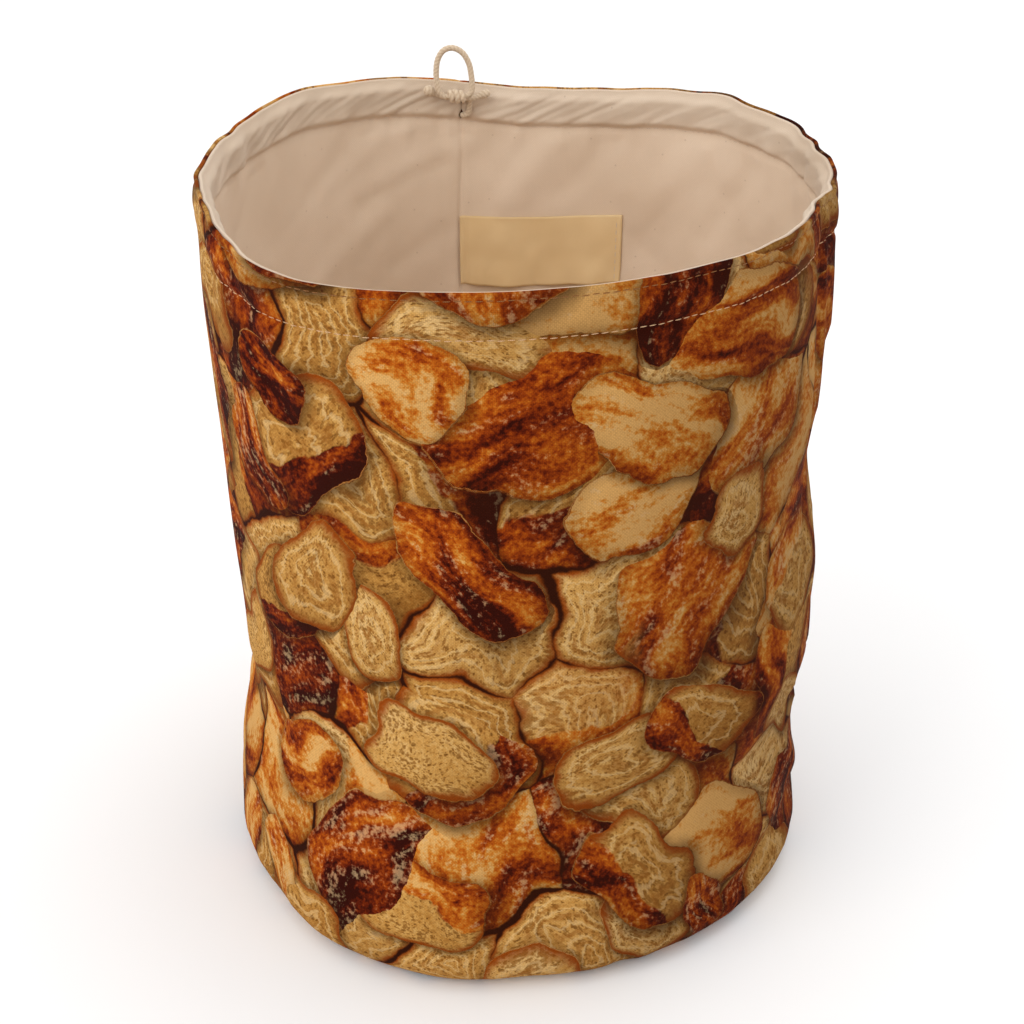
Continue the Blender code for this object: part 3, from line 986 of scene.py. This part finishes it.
bm = bmesh.new()
across = LABEL_WIDTH - LABEL_END_STITCH
for i in range(int((LABEL_HEIGHT - 2) / (STITCH + STITCH_GAP))):
    low = LABEL_FIRST_STITCH + i * (STITCH + STITCH_GAP)
    start, end = on_label(across, low, 0.05), on_label(across, low + STITCH, 0.05)
    sew(bm, start, end, on_label(across, low, 1.0) - start)
label_row = new_piece("label_stitches", bm, lining_thread, "label_cloth")

# The drawcord
# A loosely twisted cotton cord of 2.6 mm. It runs round the casing and comes out of the slit in
# the back seam, where one knot ties its ends to a loop that stands above the rim.
CORD = 2.6
STRANDS = 3
STRAND_PITCH = 5.2
STRAND_GROOVE = 0.07
CORD_SIDES = 18
LOOP_STEPS = 12
KNOT_STEPS = 4
RUN_STEPS = 6
KNOT_POINTS = 40
CORD_DEPTH = 3.0
CORD_BELOW_RIM = 9.0
RUN_POINTS = 72
LEFT_END = (
    # along, below rim, inside
    (1.6, 4.4, 9.6),
    (0.8, 5.2, 8.2),
    (0.8, 6.2, 6.2),
    (2.2, 7.2, 4.2),
    (4.8, 8.2, 3.5),
)
RIGHT_END = (
    # along, below rim, inside
    (-1.2, 3.8, 10.2),
    (-2.6, 5.6, 9.0),
    (-3.0, 8.0, 8.0),
    (-3.0, 11.0, 7.5),
    (-2.1, 13.4, 6.9),
    (-0.3, 14.4, 5.6),
    (-1.6, 14.0, 4.1),
    (-4.8, 12.6, 3.5),
)
LOOP = (
    # along, below rim, inside
    (5.2, 4.8, 11.2),
    (7.4, 5.2, 11.9),
    (9.4, 5.0, 12.1),
    (11.3, 3.0, 11.9),
    (12.0, -0.5, 11.3),
    (11.9, -5.0, 10.2),
    (10.9, -10.0, 9.4),
    (8.3, -14.1, 9.0),
    (4.2, -15.7, 8.8),
    (0.0, -14.1, 9.0),
    (-2.7, -10.0, 9.4),
    (-3.7, -5.0, 10.2),
    (-3.9, 0.0, 11.2),
    (-3.2, 2.4, 11.7),
    (-1.2, 4.0, 11.7),
    (1.0, 4.6, 11.4),
)
LEFT_TAIL = (
    # along, below rim, inside
    (5.4, 5.4, 11.0),
    (8.0, 6.0, 9.7),
    (11.2, 5.4, 8.9),
    (14.4, 4.2, 8.8),
    (17.2, 2.6, 8.8),
)
RIGHT_TAIL = (
    # along, below rim, inside
    (0.4, 5.0, 11.0),
    (-3.2, 5.4, 9.9),
    (-6.4, 4.6, 9.0),
    (-9.6, 3.2, 8.7),
    (-12.6, 2.0, 8.6),
)
KNOT_MIDDLE = (3.4, 4.9, 11.3)
KNOT_TURNS = 2.6
KNOT_HALF_LENGTH = 3.2
KNOT_COIL = 1.95


def seam_point(along, below_rim, inside):
    """A point beside the back seam, by its distances along the rim, below it and inside the canvas."""
    return wall_point(BACK_SEAM + math.degrees(along / MEAN_RADIUS), RIM_RUN - below_rim, inside)


def smooth_path(points, steps):
    """Points on a smooth curve through the given ones, in this many steps from each to the next."""
    ends = [2 * points[0] - points[1]] + points + [2 * points[-1] - points[-2]]
    path = []
    for a, b, c, d in zip(ends, ends[1:], ends[2:], ends[3:]):
        for i in range(steps):
            t = i / steps
            path.append(
                b + t * (c - a) / 2 + t * t * (a - 2.5 * b + 2 * c - d / 2)
                + t ** 3 * (1.5 * (b - c) + (d - a) / 2)
            )
    return path + [points[-1]]


def cord_mesh(path, swell=None):
    """A twisted cord along the path, round at both ends. swell(share) widens it on the way."""
    rows = []
    side = Vector((0, 0, 1)).cross(path[1] - path[0]).normalized()
    run = 0.0
    for i, point in enumerate(path):
        forward = (path[min(i + 1, len(path) - 1)] - path[max(i - 1, 0)]).normalized()
        side = (side - forward * side.dot(forward)).normalized()
        run += (point - path[i - 1]).length / MM if i else 0.0
        rows.append((point, side, forward.cross(side), run))
    total = rows[-1][3]

    def place(column, row):
        point, across, up, here = rows[row]
        turn = 2 * math.pi * column / CORD_SIDES
        end = min(here, total - here) / (CORD / 2)
        round_end = math.sqrt(max(0.0, 1 - max(0.0, 1 - end) ** 2))
        strand = abs(math.cos(STRANDS / 2 * (turn - 2 * math.pi * here / STRAND_PITCH)))
        radius = CORD / 2 * round_end * (1 - STRAND_GROOVE * (1 - strand))
        radius *= swell(here / total) if swell else 1.0
        out = across * math.cos(turn) + up * math.sin(turn)
        return point + out * radius * MM, (turn * CORD / 2 * MM, here * MM)

    bm = bent_grid(CORD_SIDES, len(rows) - 1, place)
    bmesh.ops.recalc_face_normals(bm, faces=bm.faces)
    return bm


cotton_cord, place = begin_material("cotton_cord", roughness=0.85, sheen=0.15)
slant = place.part("Y") * (2 * math.pi / STRAND_PITCH) * STRANDS - place.part("X") * (2 / CORD * STRANDS)
strands = slant.math("SINE") * 0.5 + 0.5
yarns = (slant * 5.0).math("SINE") * 0.5 + 0.5
fuzz = place.lumps(0.7, detail=3.0)
cotton = (strands * 0.25 + yarns * 0.25 + fuzz * 0.6).rising(0.2, 0.9)
cotton = cotton.covered(paint(196, 170, 140), paint(226, 206, 180))
end_material(cotton_cord, cotton, yarns * 0.6 + fuzz, depth=0.12)

loop_path = smooth_path([seam_point(*row) for row in LOOP], LOOP_STEPS)
cord_loop = new_piece("drawcord_loop", cord_mesh(loop_path), cotton_cord, "cotton_cord", "cord_loop")

knot_route = []
for step in range(KNOT_POINTS):
    share = step / (KNOT_POINTS - 1)
    turn = 2 * math.pi * KNOT_TURNS * share
    coil = KNOT_COIL * (0.55 + 0.45 * math.sin(math.pi * share) ** 0.5)
    along = KNOT_MIDDLE[0] + KNOT_HALF_LENGTH * (2 * share - 1)
    below_rim = KNOT_MIDDLE[1] + coil * math.cos(turn)
    inside = KNOT_MIDDLE[2] + coil * math.sin(turn)
    knot_route.append(seam_point(along, below_rim, inside))
knot_path = smooth_path(knot_route, KNOT_STEPS)
knot = new_piece("drawcord_knot", cord_mesh(knot_path), cotton_cord, "cotton_cord", "cord_knot")

TAILS = (
    # name, route, swell at its frayed end, node
    ("drawcord_tail_left", LEFT_TAIL, 0.9, "tail_left"),
    ("drawcord_tail_right", RIGHT_TAIL, 0.45, "tail_right"),
)
for name, route, fray, node in TAILS:
    path = smooth_path([seam_point(*row) for row in route], LOOP_STEPS)
    bm = cord_mesh(path, swell=lambda share: 1 + fray * hump(share - 0.8, 0.24))
    new_piece(name, bm, cotton_cord, "cotton_cord", node)

run_route = [seam_point(*row) for row in LEFT_END]
for point in range(1, RUN_POINTS):
    angle = BACK_SEAM + 360 * point / RUN_POINTS
    run_route.append(wall_point(angle, RIM_RUN - CORD_BELOW_RIM, CORD_DEPTH))
run_route += [seam_point(*row) for row in RIGHT_END[::-1]]
run_path = smooth_path(run_route, RUN_STEPS)
new_piece("drawcord_run", cord_mesh(run_path), cotton_cord, "cotton_cord", "cord_run")

# The floor and the light
# A plain white floor under a plain soft studio light: a large softbox in front on the left, a
# weaker one above on the right, and a bright even surround.
bm = bmesh.new()
bmesh.ops.create_grid(bm, x_segments=1, y_segments=1, size=4)
floor_mesh = bpy.data.meshes.new("floor")
bm.to_mesh(floor_mesh)
bm.free()
floor = bpy.data.objects.new("floor", floor_mesh)
bpy.context.scene.collection.objects.link(floor)
floor_material = bpy.data.materials.new("floor")
floor_material.use_nodes = True
floor_shader = floor_material.node_tree.nodes["Principled BSDF"]
floor_shader.inputs["Base Color"].default_value = (0.92, 0.92, 0.92, 1)
floor_shader.inputs["Roughness"].default_value = 0.9
floor_mesh.materials.append(floor_material)

SOFTBOXES = (
    # name, place, aims at, size, power
    ("front_softbox", (-1.25, -1.1, 1.35), (0, 0, 0.15), 1.3, 10),
    ("top_softbox", (0.5, 0.3, 1.8), (0, 0, 0.15), 1.0, 5),
)
for name, spot, aim, size, power in SOFTBOXES:
    light = bpy.data.lights.new(name, "AREA")
    light.size = size
    light.energy = power
    softbox = bpy.data.objects.new(name, light)
    softbox.location = spot
    softbox.rotation_euler = (Vector(aim) - Vector(spot)).to_track_quat("-Z", "Y").to_euler()
    bpy.context.scene.collection.objects.link(softbox)

surround = bpy.data.worlds.new("surround")
surround.use_nodes = True
background = surround.node_tree.nodes["Background"]
background.inputs["Color"].default_value = (1, 1, 1, 1)
background.inputs["Strength"].default_value = 1.05
bpy.context.scene.world = surround
bpy.context.scene.view_settings.view_transform = "Standard"
